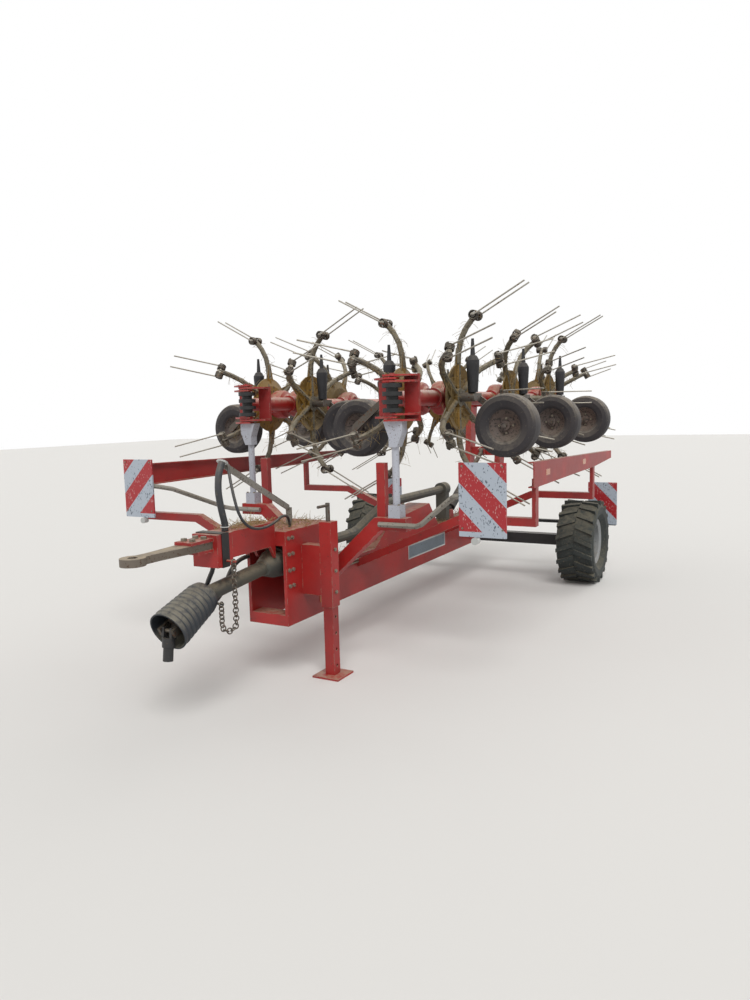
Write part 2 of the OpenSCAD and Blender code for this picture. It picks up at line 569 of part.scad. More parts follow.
gauge_profile = [[12.55, 45], [30, 45], [30, 20], [60, 20], [98, 46], [104, 60], [120, 72],
  [160, gauge_w / 2], [gauge_d / 2 - 15, gauge_w / 2 - 5], [gauge_d / 2 - 3, gauge_w / 2 - 28],
  [gauge_d / 2, 12]];
module gauge_wheel(i) unit(i) translate([wheel_drop, 0, wheel_axial]) rotate([90, 0, 0]) rotate_extrude()
  polygon(concat(gauge_profile,
    [for (k = [len(gauge_profile) - 1 : -1 : 0]) [gauge_profile[k].x, -gauge_profile[k].y]]));
module gauge_wheel_1() color("dimgray") gauge_wheel(0);
module gauge_wheel_2() color("dimgray") gauge_wheel(1);
module gauge_wheel_3() color("dimgray") gauge_wheel(2);
module gauge_wheel_4() color("dimgray") gauge_wheel(3);
module gauge_wheel_5() color("dimgray") gauge_wheel(4);
module gauge_wheel_6() color("dimgray") gauge_wheel(5);
module gauge_wheel_7() color("dimgray") gauge_wheel(6);
module gauge_wheel_8() color("dimgray") gauge_wheel(7);
module gauge_wheel_9() color("dimgray") gauge_wheel(8);
module gauge_wheel_10() color("dimgray") gauge_wheel(9);

main_beam();
gantry();
drawbar();
drawbar_eye();
jack_tube();
jack_crank();
jack_leg();
axle_beam();
road_rim_left();
road_rim_right();
road_tyre_left();
road_tyre_right();
rest_arms();
rest_posts();
guard_rails();
front_boards();
rear_boards();
board_arms();
light_bar();
driveline();
pto_guard();
pto_shaft();
pto_yoke();
hose_bracket();
chain();
hose_riser();
hose_loop();
hose_drop();
lamps();
lift_frame();
lift_barrel();
lift_rod();
centre_frame();
wing_frame_left();
wing_frame_right();
tip_frame_left();
tip_frame_right();
hinge_clutches();
gauge_legs();
leg_boots();
rotor_1();
rotor_2();
rotor_3();
rotor_4();
rotor_5();
rotor_6();
rotor_7();
rotor_8();
rotor_9();
rotor_10();
gauge_wheel_1();
gauge_wheel_2();
gauge_wheel_3();
gauge_wheel_4();
gauge_wheel_5();
gauge_wheel_6();
gauge_wheel_7();
gauge_wheel_8();
gauge_wheel_9();
gauge_wheel_10();
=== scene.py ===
# %% [markdown]
# # Folded hay tedder
# A hay tedder spreads mown grass with ten spinning rotors. Here it is folded for the road and stands
# on its jack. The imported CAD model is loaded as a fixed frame; this script gives each part its
# finish, adds the small pieces that a solid model leaves out, and sets the camera where the
# photograph was taken. All lengths are metres unless a name or a comment says otherwise: +X is the
# machine's left, +Y its rear and +Z up.

# %% Load the frame
import math
import bpy
import numpy as np
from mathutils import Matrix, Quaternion, Vector


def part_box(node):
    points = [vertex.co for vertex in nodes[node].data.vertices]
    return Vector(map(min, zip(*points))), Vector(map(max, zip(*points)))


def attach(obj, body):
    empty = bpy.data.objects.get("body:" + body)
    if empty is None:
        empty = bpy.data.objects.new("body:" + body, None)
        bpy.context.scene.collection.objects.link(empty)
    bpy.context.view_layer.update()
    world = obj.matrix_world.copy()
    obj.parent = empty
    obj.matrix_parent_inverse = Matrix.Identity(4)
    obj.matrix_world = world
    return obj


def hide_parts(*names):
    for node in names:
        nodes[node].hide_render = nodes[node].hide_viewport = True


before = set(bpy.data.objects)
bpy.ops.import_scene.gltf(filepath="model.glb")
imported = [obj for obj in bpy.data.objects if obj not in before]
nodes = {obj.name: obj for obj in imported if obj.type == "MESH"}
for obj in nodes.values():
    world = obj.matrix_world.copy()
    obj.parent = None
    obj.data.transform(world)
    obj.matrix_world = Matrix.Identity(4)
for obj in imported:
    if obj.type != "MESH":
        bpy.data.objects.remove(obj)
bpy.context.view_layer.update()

AXLE_Y = 1.7475     # the road axle's place in the frame

# %% [markdown]
# ## Colour and node helpers
# Colours are written as the hex values that a painter would pick on a screen. Blender mixes light in
# linear values, so they are converted once, here. A tree of nodes could be wired line by line, with a
# line for each value and each link. It reads more easily when one call adds a node with its settings,
# its values and its links, and hands on what the node gives.

# %% Helpers for materials
SHARE, AT_0, AT_1 = 0, 6, 7    # a colour Mix node's sockets: the share, and its colour at 0 and at 1


def linear(code):
    """sRGB hex to linear RGBA: ((c + 0.055) / 1.055) ** 2.4 for each channel, or c / 12.92 when small."""
    c = np.array([int(code[i:i + 2], 16) for i in (0, 2, 4)]) / 255
    return (*np.where(c <= 0.04045, c / 12.92, ((c + 0.055) / 1.055) ** 2.4).tolist(), 1.0)


def add(tree, kind, inputs=None, **settings):
    """Adds a node, sets its settings, links or sets each input, and gives its first output in use."""
    node = tree.nodes.new(kind)
    for name, value in settings.items():
        setattr(node, name, value)
    for name, value in (inputs or {}).items():
        if isinstance(value, bpy.types.NodeSocket):
            tree.links.new(value, node.inputs[name])
        else:
            node.inputs[name].default_value = value
    return next(socket for socket in node.outputs if socket.enabled)


def start(name):
    """A new material with its tree, its shader and its object coordinates."""
    material = bpy.data.materials.new(name)
    material.use_nodes = True
    tree = material.node_tree
    place = add(tree, "ShaderNodeTexCoord").node.outputs["Object"]
    return material, tree, tree.nodes["Principled BSDF"], place


print("a mid grey in linear light", round(linear("808080")[0], 3))

# %% [markdown]
# ## Weathered finishes
# Paint on a machine that lives in a barn is never one colour. Pictures of rust would do, but they
# don't fit every size of part. Four layers worked out in space give the same look everywhere: slow
# fading over 400 mm, edges rubbed down to dusty primer, small chips where stones and hay have worn
# through, and dust that settles on faces that look up. The facing is read in the part's own
# coordinates, so the dust stays where it lies when the part moves. With other colours, the same
# layers make steel, rubber and plastic.

# %% Patches of wear
FADE_MM, DUST_MM, RUB_MM = 400, 45, 36    # sizes of the patches that fade, gather dust and rub


def patches(tree, place, size_mm, detail, low, high, roughness=0.5):
    """A noise with patches of size_mm, and how far it is from low (0) to high (1) on a smooth curve."""
    cloud = add(tree, "ShaderNodeTexNoise", {"Vector": place, "Scale": 1000 / size_mm, "Detail": detail,
                                             "Roughness": roughness})
    return cloud, add(tree, "ShaderNodeMapRange", {"Value": cloud, "From Min": low, "From Max": high},
                      interpolation_type="SMOOTHSTEP")


print("patches: fading", FADE_MM, "mm, dust", DUST_MM, "mm, rubbing", RUB_MM, "mm")

# %% Rubbed edges
EDGE_STARTS, EDGE_FULL = 0.985, 0.88    # cosine of the turn, about 10 and 28 degrees
PRIMER = "8E7566"                       # dusty primer that shows where paint is rubbed off


def rubbed_edges(tree, place, edge_mm):
    """1 where the normal rounded over edge_mm leaves the flat one, broken up by patches."""
    rounded = add(tree, "ShaderNodeBevel", {"Radius": edge_mm / 1000}, samples=4)
    flat = add(tree, "ShaderNodeNewGeometry").node.outputs["Normal"]
    same = add(tree, "ShaderNodeVectorMath", {0: rounded, 1: flat}, operation="DOT_PRODUCT")
    edge = add(tree, "ShaderNodeMapRange", {"Value": same, "From Min": EDGE_STARTS, "From Max": EDGE_FULL},
               interpolation_type="SMOOTHSTEP")
    _, broken = patches(tree, place, RUB_MM, 5.0, 0.46, 0.56)
    return add(tree, "ShaderNodeMath", {0: edge, 1: broken}, operation="MULTIPLY")


print("rubbing starts at", round(math.degrees(math.acos(EDGE_STARTS))), "degrees")

# %% Settled dust
DUST_SLOPE = (-0.1, 0.8)    # height of the normal where dust starts to lie, and where it all lies


def settled_dust(tree, place):
    """The noise of the dust, and its share: how far the face looks up times the dust's patches."""
    up = add(tree, "ShaderNodeSeparateXYZ", {"Vector": place.node.outputs["Normal"]}).node.outputs["Z"]
    level = add(tree, "ShaderNodeMapRange", {"Value": up, "From Min": DUST_SLOPE[0],
                                             "From Max": DUST_SLOPE[1]}, interpolation_type="SMOOTHSTEP")
    cloud, gathered = patches(tree, place, DUST_MM, 8.0, 0.28, 0.6, 0.7)
    return cloud, add(tree, "ShaderNodeMath", {0: level, 1: gathered}, operation="MULTIPLY")


print("dust starts to lie at a normal's height of", DUST_SLOPE[0])


# %% One weathered surface
def weathered(name, hue, faded, dust, chip, rough, metal=0.0, ior=1.5, coat=0.0, dust_amount=0.5,
              chips=0.66, chip_mm=14, edge_mm=0):
    """Hue fading to faded, rubbed edges, chips where a noise of chip_mm passes chips, then dust."""
    material, tree, shader, place = start(name)
    _, pale = patches(tree, place, FADE_MM, 4.0, 0.35, 0.65)
    fine, chipped = patches(tree, place, chip_mm, 6.0, chips, chips + 0.03)
    cloud, settled = settled_dust(tree, place)
    lying = add(tree, "ShaderNodeMath", {0: settled, 1: dust_amount}, operation="MULTIPLY")
    layers = [(pale, faded), (chipped, chip), (lying, dust)]
    if edge_mm:
        layers.insert(1, (rubbed_edges(tree, place, edge_mm), PRIMER))
    colour = linear(hue)
    for share, layer in layers:
        colour = add(tree, "ShaderNodeMix", {SHARE: share, AT_0: colour, AT_1: linear(layer)},
                     data_type="RGBA")
    roughness = add(tree, "ShaderNodeMapRange", {"Value": cloud, "To Min": rough - 0.08,
                                                 "To Max": rough + 0.2})
    grain = add(tree, "ShaderNodeBump", {"Height": fine, "Strength": 0.15, "Distance": 0.002})
    for socket, value in (("Base Color", colour), ("Roughness", roughness), ("Normal", grain)):
        tree.links.new(value, shader.inputs[socket])
    for socket, value in (("Metallic", metal), ("IOR", ior), ("Coat Weight", coat)):
        shader.inputs[socket].default_value = value
    return material


print("layers on every finish: fading, chips, dust, and on some rubbed edges")

# %% [markdown]
# ## Paints
# The frame is sprayed with red enamel, the posts with white, the axle with black, and the rotor
# dishes with ochre. Enamel is a dielectric with an index near 1.5. One plain glossy colour would
# look new from the works. Years of dust have taken the gloss, so each paint gets the layers above,
# rougher than a car's, with only a trace of clear coat left on the red.

# %% Paint finishes
# Each finish has four colours, fresh, faded, dust and chips, and then its roughness.
# Sprayed enamel over primer: even colour with a dull sheen, pale along its edges.
red_paint = weathered("sprayed_red_enamel", "A31A18", "861A1A", "AE9880", "5E231C", 0.46, coat=0.1,
                      dust_amount=0.65, edge_mm=7)
# The same in white: chips show the dark primer.
white_paint = weathered("sprayed_white_enamel", "B4B7C1", "A2A5AD", "98907F", "5E564E", 0.45,
                        chips=0.63, chip_mm=9)
# Dipped chassis black: nearly without colour, so only its dust tells its shape.
black_paint = weathered("black_chassis_paint", "141517", "202022", "6E6558", "3A332C", 0.5)
# Ochre enamel that grass juice has stained brown in patches.
ochre_paint = weathered("ochre_rotor_enamel", "84631F", "5C4A24", "8E8066", "4A3B28", 0.6,
                        dust_amount=0.7, chips=0.6, chip_mm=30)
# Baked silver on a pressed wheel: pale and smooth.
light_rim = weathered("silver_wheel_enamel", "96999B", "858788", "847A6A", "5A544C", 0.45)
# A pressed wheel whose paint has gone to rust: brown and matt.
rusty_rim = weathered("rusted_pressed_rim", "504845", "5E4F47", "7C7062", "322C29", 0.7, chips=0.55)
print("paints", len(bpy.data.materials))

# %% [markdown]
# ## Steels
# Bare steel on a farm machine is a metal under a skin of oxide, oil and dust. A clean metal would
# mirror the sky; here the metallic share stays between 0.2 and 0.7 and the rest is the skin.

# %% Steel finishes
# Hot-dip galvanised pipe, weathered: matt grey with a faint spangle.
grey_paint = weathered("galvanised_pipe", "8C8982", "767269", "A09684", "4E463E", 0.5, metal=0.3, chips=0.6)
# Bent arm tube, its paint scoured off by hay: straw-grey with dark stains.
arm_steel = weathered("worn_arm_tube", "7C7566", "5A5444", "ADA28C", "453E34", 0.6, metal=0.2,
                      chips=0.56, chip_mm=18)
# Drawn spring wire that hay keeps polished: the brightest steel here.
spring_steel = weathered("spring_steel_wire", "A39F95", "8A857A", "A89E8C", "6E5A48", 0.4, metal=0.6,
                         chips=0.62)
# The same wire in the coils, where oil and dirt stay: dark between bright turns.
coil_steel = weathered("oiled_spring_coils", "45423D", "56504A", "A89E8A", "6A4A38", 0.42, metal=0.6,
                       chips=0.6)
# Forged eye: brown-grey under thick dust.
eye_steel = weathered("dusty_forged_steel", "6E655B", "5C534A", "A8987F", "4E3A2E", 0.55, metal=0.3,
                      dust_amount=0.8, chips=0.6)
# Turned and cut steel, handled often: a dull shine with rust in the low spots.
bare_steel = weathered("bare_worn_steel", "66615B", "565049", "8C8170", "5C4030", 0.45, metal=0.7, chips=0.58)
# Zinc-plated pipe and screws: a warm grey shine.
pipe_steel = weathered("zinc_plated_pipe", "8E877A", "787062", "958B78", "5A4C3E", 0.4, metal=0.6, chips=0.6)
print("paints and steels", len(bpy.data.materials))

# %% [markdown]
# ## Rubber, plastic and what lies on them
# Moulded rubber and polyethylene have an index of about 1.52, acrylic lenses 1.49. Plain black would
# hide the tread and the ribs, and a clean lens would look new. The same layers are used again,
# because it is the pale dust on top and in the chips that shows the form.

# %% Rubber, plastic and hay finishes
# Tyre rubber gone grey-green with dried mud.
tread_rubber = weathered("field_tyre_rubber", "262A2A", "323736", "77715F", "4E4C42", 0.8, ior=1.52,
                         dust_amount=0.6, chips=0.6)
# Smoother tyres of the gauge wheels, slightly brown.
gauge_rubber = weathered("gauge_tyre_rubber", "262427", "322E30", "8C8274", "48423C", 0.7, ior=1.52,
                         dust_amount=0.75, chips=0.63)
# Moulded boots: the blackest surface, with an even matt skin.
rubber = weathered("moulded_black_rubber", "17171A", "222226", "665E52", "34322F", 0.6, ior=1.52,
                   dust_amount=0.35)
# Hose cover, wiped by hands: a little smoother than the boots.
hose_rubber = weathered("black_hydraulic_hose", "24262A", "34363A", "7C7264", "4A463E", 0.5, ior=1.52,
                        dust_amount=0.6, chips=0.62)
# Blow-moulded cone over the drive shaft: blue-black with dust on each rib.
guard_plastic = weathered("black_guard_polyethylene", "1E2227", "2A2F36", "8A8474", "3E4042", 0.5,
                          ior=1.52, dust_amount=0.75)
# Its tube, brown with the dust that oil holds.
guard_tube = weathered("dusty_guard_tube", "3A3B38", "4A4940", "857B66", "2E2E2C", 0.6, ior=1.52,
                       dust_amount=0.7)
# Acrylic lenses, red, clear and amber: smooth, with a bright coat.
red_lens = weathered("red_lamp_lens", "8E1510", "7A1814", "8A6E5C", "5A1A14", 0.2, ior=1.49, coat=0.5,
                     chips=0.75)
clear_lens = weathered("clear_lamp_lens", "C4C6C6", "AEB0AE", "94897A", "7A766E", 0.15, ior=1.49, coat=0.5,
                       chips=0.75)
amber_lens = weathered("amber_reflector", "C2661A", "AE5A1A", "90724A", "7A4A1E", 0.2, ior=1.49, coat=0.5,
                       chips=0.75)
# Lacquered aluminium plate: blue-grey with a dull, even sheen.
plate_grey = weathered("bare_grey_plate", "6E7A84", "626C74", "948A7A", "4A4C50", 0.5, chips=0.64)
# Dry stalks: straw, fading to brown.
hay_straw = weathered("dry_hay", "A48C58", "867046", "B8A67C", "62522F", 0.8, dust_amount=0.2, chips=0.6)
print("finishes", len(bpy.data.materials))

# %% [markdown]
# ## Warning boards
# The boards are sheet metal with reflective film in sloping bands. They could be painted by hand on a
# picture; drawing the bands from the board's own sizes keeps their edges sharp at any distance. The
# bands repeat with the board's width and run at 45 degrees, mirrored on the other side of the
# machine. Stones have knocked flakes out of the film, more in some places than in others.

# %% Bands of the film
BAND_LOW, BAND_STEP = 2.579, 0.282                 # |x| + z where a red band starts, and a pair's width
STRIP_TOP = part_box("front_boards")[0][2] + 0.030   # the front boards end below in a plain pale strip


def banded(tree, place):
    """White where the fraction of (|x| + z - BAND_LOW) / BAND_STEP is under one half, else red."""
    axis = add(tree, "ShaderNodeSeparateXYZ", {"Vector": place}).node.outputs
    wide = add(tree, "ShaderNodeMath", {0: axis["X"]}, operation="ABSOLUTE")
    slope = add(tree, "ShaderNodeMath", {0: wide, 1: axis["Z"]}, operation="ADD")
    turns = add(tree, "ShaderNodeMapRange", {"Value": slope, "From Min": BAND_LOW,
                                             "From Max": BAND_LOW + BAND_STEP}, clamp=False)
    part = add(tree, "ShaderNodeMath", {0: turns}, operation="FRACT")
    band = add(tree, "ShaderNodeMapRange", {"Value": part, "From Min": 0.495, "From Max": 0.505},
               interpolation_type="SMOOTHSTEP")
    behind = add(tree, "ShaderNodeMath", {0: axis["Y"], 1: 0.0}, operation="GREATER_THAN")
    height = add(tree, "ShaderNodeMath", {0: axis["Z"], 1: behind}, operation="ADD")
    above = add(tree, "ShaderNodeMath", {0: height, 1: STRIP_TOP}, operation="GREATER_THAN")
    return add(tree, "ShaderNodeMath", {0: band, 1: above}, operation="MULTIPLY")


print("a band is", BAND_STEP / 2, "m wide, the strip ends at", round(STRIP_TOP, 3))

# %% Flakes out of the film
FLAKE_MM, GRIT_MM = 8, 90    # sizes of a flake and of the areas that have more of them


def flaked(tree, place):
    """1 where a noise of FLAKE_MM, stretched upwards and raised in gritty areas, passes 0.65."""
    tall = add(tree, "ShaderNodeMapping", {"Vector": place, "Scale": (1.0, 1.0, 0.45)})
    areas = add(tree, "ShaderNodeTexNoise", {"Vector": place, "Scale": 1000 / GRIT_MM, "Detail": 2.0})
    raised = add(tree, "ShaderNodeMapRange", {"Value": areas, "From Min": 0.35, "From Max": 0.65,
                                              "To Min": -0.04, "To Max": 0.04})
    flakes = add(tree, "ShaderNodeTexNoise", {"Vector": tall, "Scale": 1000 / FLAKE_MM, "Detail": 3.0})
    total = add(tree, "ShaderNodeMath", {0: flakes, 1: raised}, operation="ADD")
    return add(tree, "ShaderNodeMapRange", {"Value": total, "From Min": 0.62, "From Max": 0.65},
               interpolation_type="SMOOTHSTEP")


print("flakes", FLAKE_MM, "mm, gritty areas", GRIT_MM, "mm")

# %% The film's material
# Reflective film on sheet metal: a smooth plastic skin, dark under white flakes and pale under red.
film, tree, shader, place = start("reflective_board_film")
red_part = banded(tree, place)
whole, under = (
    add(tree, "ShaderNodeMix", {SHARE: red_part, AT_0: linear(white), AT_1: linear(red)}, data_type="RGBA")
    for white, red in (("AAB3BE", "A2242A"), ("4B5460", "B98A88")))
shown = add(tree, "ShaderNodeMix", {SHARE: flaked(tree, place), AT_0: whole, AT_1: under}, data_type="RGBA")
tree.links.new(shown, shader.inputs["Base Color"])
shader.inputs["Roughness"].default_value = 0.35
print("film nodes", len(tree.nodes))

# %% [markdown]
# ## Finishes on the CAD parts
# Most parts are one piece of one material. Each could have its own lines; a table from finish to
# names says the same at a glance, and the parts of several finishes follow in the next step.

# %% Give each CAD part its finish
FINISH = {
    red_paint: "main_beam gantry drawbar jack_tube jack_leg rest_arms guard_rails lift_frame centre_frame "
               "wing_frame_left wing_frame_right tip_frame_left tip_frame_right",
    white_paint: "rest_posts", grey_paint: "board_arms hose_bracket", film: "front_boards rear_boards",
    eye_steel: "drawbar_eye", bare_steel: "jack_crank pto_shaft lift_rod gauge_legs chain",
    black_paint: "axle_beam light_bar lift_barrel hinge_clutches pto_yoke",
    guard_tube: "driveline", rubber: "leg_boots",
    light_rim: "road_rim_left road_rim_right", tread_rubber: "road_tyre_left road_tyre_right"}
for finish, names in FINISH.items():
    for name in names.split():
        nodes[name].data.materials.clear()
        nodes[name].data.materials.append(finish)
print("finished", sum(len(v.split()) for v in FINISH.values()), "CAD parts")

# %% [markdown]
# ## Where the rotors stand
# Every rotor is the same machine part, turned: the undersides of the wings look outwards, those of
# the folded-in tips look to the middle, and those of the centre pair look back. Each could be placed
# by hand, but one table of middle and turn serves every piece that is repeated on a rotor, so a
# shape is worked out once, on a rotor's own axes, and then carried to all ten.

# %% Rotor table
ROTOR_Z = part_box("lift_frame")[1][2]    # the lift frame ends at the height of all the rotors' axes
# x and y from the axle, turn of the underside and phase of the arms in degrees
ROTORS = np.array([
    [0.79, -2.50, 0, 0], [0.79, -1.44, 0, 30], [0.79, -0.38, 0, 0], [0.61, -2.50, 180, 0],
    [-0.79, -2.14, 180, 0], [-0.79, -1.08, 180, 30], [-0.79, -0.02, 180, 0], [-0.61, -2.14, 0, 0],
    [0.53, 0.45, 90, 0], [-0.53, 0.45, 90, 30]])
ARMS = 6
print("rotors", len(ROTORS), "at height", round(ROTOR_Z, 3))


# %% From a rotor's own axes to the frame and back
def rotor_axes(k):
    """Own axes as rows: x points down, z to the underside, and y = z cross x completes them."""
    yaw = math.radians(ROTORS[k, 2])
    out = np.array([math.cos(yaw), math.sin(yaw), 0.0])
    down = np.array([0.0, 0.0, -1.0])
    return np.array([down, np.cross(out, down), out])


def rotor_middle(k):
    """The point where the rotor's axis crosses its tube."""
    return np.array([ROTORS[k, 0], ROTORS[k, 1] + AXLE_Y, ROTOR_Z])


def to_frame(k, local):
    """Rows of own coordinates times the axes, plus the middle."""
    return np.asarray(local, float) @ rotor_axes(k) + rotor_middle(k)


def to_rotor(k, points):
    """The way back: the distance from the middle, measured along each axis."""
    return (np.asarray(points, float) - rotor_middle(k)) @ rotor_axes(k).T


print("first rotor's middle", rotor_middle(0).round(3).tolist())

# %% [markdown]
# ## One solid, several finishes
# A rotor is one solid in the CAD, but its dish is painted ochre, its arms are worn tube, and its
# tines are spring wire. Splitting the solid would change the model. Each face knows how far it is
# from the rotor's axis and how far along it, so the finish is picked from those two numbers alone.

# %% Sort faces by place
def face_middles(mesh):
    """All face middles as rows."""
    values = np.zeros(len(mesh.polygons) * 3)
    mesh.polygons.foreach_get("center", values)
    return values.reshape(-1, 3)


def sort_faces(mesh, finishes, pick):
    """Gives the mesh these finishes, face by face: pick holds each face's place in the list."""
    mesh.materials.clear()
    for finish in finishes:
        mesh.materials.append(finish)
    mesh.polygons.foreach_set("material_index", np.asarray(pick).astype(np.int32))


# Front lamps are clear and rear ones red; the shaft's guard is a cone in front and a tube behind it.
CONE_END = AXLE_Y - 4.02
for name, finishes, border in (("lamps", (clear_lens, red_lens), 0.0),
                               ("pto_guard", (guard_plastic, guard_tube), CONE_END)):
    mesh = nodes[name].data
    sort_faces(mesh, finishes, face_middles(mesh)[:, 1] > border)
    print(name, "faces", len(mesh.polygons))

# %% Rotors and gauge wheels
TINES_FROM, COILS_FROM = 0.525, 0.49      # distances from a rotor's axis where tines and coils start
LEAF_RADIUS, LEAF_HEIGHTS = 0.33, (0.104, 0.113)    # thin leaves of the dish: reach, and their planes
ON_PLANE = 0.0004                         # a face this close to a plane lies on it
DISH_RADIUS, DISH_HEIGHT = 0.222, 0.124   # the dish itself: reach, and how far under the tube it ends
GAUGE_HUB, GAUGE_RIM = (0.19, 0.0, 0.45), 0.106     # a gauge wheel's hub, and its rim's radius
for k in range(len(ROTORS)):
    mesh = nodes[f"rotor_{k + 1}"].data
    local = to_rotor(k, face_middles(mesh))
    radius, under = np.hypot(local[:, 0], local[:, 1]), local[:, 2]
    on_leaf = (np.abs(under[:, None] - LEAF_HEIGHTS) < ON_PLANE).any(1) & (radius < LEAF_RADIUS)
    dish = on_leaf | ((radius < DISH_RADIUS) & (under < DISH_HEIGHT))
    pick = np.select([radius > TINES_FROM, radius > COILS_FROM, dish], [2, 3, 0], 1)
    sort_faces(mesh, (ochre_paint, arm_steel, spring_steel, coil_steel), pick)
    mesh = nodes[f"gauge_wheel_{k + 1}"].data
    local = to_rotor(k, face_middles(mesh)) - GAUGE_HUB
    sort_faces(mesh, (gauge_rubber, rusty_rim), np.hypot(local[:, 0], local[:, 2]) < GAUGE_RIM)
print("rotors and gauge wheels sorted", 2 * len(ROTORS))

# %% [markdown]
# ## Shapes from arrays
# Every new piece is made of three simple closed shapes: a tube along a path, a peg and a plate.
# Blender's own operators could make them one by one, but a shape written as a formula on a grid of
# numbers is exact, fast, and easy to repeat hundreds of times. Each shape gives its points and its
# groups of faces, and one function joins many of them into a mesh that rides on a body.

# %% Tube and peg
TILTED = (0.31, 0.17, 0.93)    # a direction that no path here follows, to find what is square to it


def tube(path, radius, sides=8):
    """Circles p + r (cos t side + sin t upper) round the path's points, joined by quads and capped."""
    path = np.asarray(path, float)
    along = np.gradient(path, axis=0)
    along /= np.linalg.norm(along, axis=1, keepdims=True)
    side = np.cross(along, TILTED)
    side /= np.linalg.norm(side, axis=1, keepdims=True)
    upper = np.cross(along, side)
    t = np.linspace(0, 2 * np.pi, sides, endpoint=False)[None, :, None]
    rings = path[:, None] + radius * (np.cos(t) * side[:, None] + np.sin(t) * upper[:, None])
    ring = np.arange(len(path) - 1)[:, None] * sides
    corner = np.arange(sides)
    a, b = ring + corner, ring + (corner + 1) % sides
    quads = np.stack([a, b, b + sides, a + sides], -1).reshape(-1, 4)
    caps = np.stack([corner[::-1], corner + (len(path) - 1) * sides])
    return rings.reshape(-1, 3), [quads, caps]


def peg(spot, out, radius, low, high, sides):
    """A straight tube that stands on spot along out, from the height low to the height high."""
    out = np.asarray(out, float) / np.linalg.norm(out)
    return tube(np.asarray(spot, float) + np.outer([low, high], out), radius, sides)


print("a tube of 3 rings has", len(tube([[0, 0, 0], [0, 0, 1], [0, 0, 2]], 0.1)[0]), "points")


# %% Plate
def from_axle(points):
    """Millimetres from the road axle, as the machine was measured, turned into metres in the frame."""
    return np.asarray(points, float) / 1000 + [0, AXLE_Y, 0]


def plate(low, high):
    """Box: each of its 8 points takes low or high, in millimetres from the axle, for x, y and z."""
    corner = np.indices((2, 2, 2)).reshape(3, -1).T
    faces = np.array([[0, 1, 3, 2], [4, 6, 7, 5], [0, 4, 5, 1], [2, 3, 7, 6], [0, 2, 6, 4], [1, 5, 7, 3]])
    return np.where(corner == 1, from_axle(high), from_axle(low)), [faces]


print("a plate has", len(plate([0, 0, 0], [1, 1, 1])[0]), "points")


# %% Many shapes, one piece
def make_piece(name, parts, finish, body, smooth=True):
    """Joins shapes into one mesh, each with its faces' numbers moved on by the points before it."""
    starts = np.cumsum([0] + [len(points) for points, _ in parts])
    faces = [face for (_, groups), first in zip(parts, starts) for group in groups
             for face in (group + first).tolist()]
    mesh = bpy.data.meshes.new(name)
    mesh.from_pydata(np.concatenate([points for points, _ in parts]).tolist(), [], faces)
    mesh.polygons.foreach_set("use_smooth", np.full(len(mesh.polygons), smooth))
    mesh.materials.append(finish)
    piece = bpy.data.objects.new(name, mesh)
    bpy.context.scene.collection.objects.link(piece)
    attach(piece, body)
    return piece


print("CAD pieces so far", len(nodes))

# %% [markdown]
# ## Hoses
# Three free hoses run at the drawbar: a thick sleeve up to the bracket's tip, a loop back to the
# gantry, and one that hangs under the drawbar. A curve object with a bevel would do, but its length
# is hard to know. Here each hose follows the same points as its CAD tube, and a cubic that passes
# through every point makes the route smooth.

# %% Hose routes, in millimetres from the axle
RISER = [[30, -3870, 1005.4], [30, -3870, 1050], [30, -3886, 1110], [30, -3902, 1180], [30, -3910, 1250],
         [29, -3898, 1330], [26.4, -3862, 1402]]
LOOP = [[15.4, -3800, 1380], [32, -3815, 1350], [52, -3830, 1300], [74, -3842, 1240], [92, -3846, 1180],
        [104, -3838, 1120], [110, -3810, 1065], [112, -3765, 1025], [112, -3710, 1002], [112, -3650, 993],
        [112, -3590, 994], [110, -3530, 1003], [106, -3475, 1016], [101, -3440, 1026], [94, -3405, 1031],
        [86, -3369, 1030], [78, -3338, 1024], [72, -3312, 1006.5], [68, -3295, 980.5], [66, -3289, 960],
        [66, -3289, 945.5]]
DROP = [[-44, -3906, 819.6], [-44, -3906, 785], [-56, -3918, 745], [-70, -3928, 705], [-86, -3933, 662],
        [-102, -3928, 615], [-120, -3910, 578], [-138, -3878, 552], [-152, -3834, 541], [-162, -3785, 545],
        [-168, -3738, 560], [-170, -3698, 585], [-170, -3665, 620], [-167, -3640, 662], [-161, -3616, 704],
        [-153, -3585, 739], [-146, -3545, 762], [-141, -3500, 773], [-141, -3460.4, 773]]
HOSES = (("hose_riser", RISER, 0.040, "stiff"), ("hose_loop", LOOP, 0.018, "medium"),
         ("hose_drop", DROP, 0.028, "medium"))
print("route points", [len(points) for _, points, _, _ in HOSES])

# %% Smooth the routes and lay the hoses
SKIN = 0.0004    # the visible tube stays this far inside its CAD solid


def smooth_route(points, steps=6):
    """Catmull-Rom: (2b + (c - a)u + (2a - 5b + 4c - d)u^2 + (3b - a - 3c + d)u^3) / 2 on each span."""
    q = np.vstack([2 * points[0] - points[1], points, 2 * points[-1] - points[-2]])
    a, b, c, d = (q[k:len(q) - 3 + k, None] for k in range(4))
    u = np.linspace(0, 1, steps, endpoint=False)[None, :, None]
    curve = 2 * b + (c - a) * u + (2 * a - 5 * b + 4 * c - d) * u ** 2 + (3 * b - a - 3 * c + d) * u ** 3
    return np.vstack([curve.reshape(-1, 3) / 2, points[-1]])


for name, points, width, stiffness in HOSES:
    route = smooth_route(from_axle(points))
    hose = make_piece(f"{name}_rubber", [tube(route, width / 2 - SKIN, 16)], hose_rubber, "chassis")
    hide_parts(name)

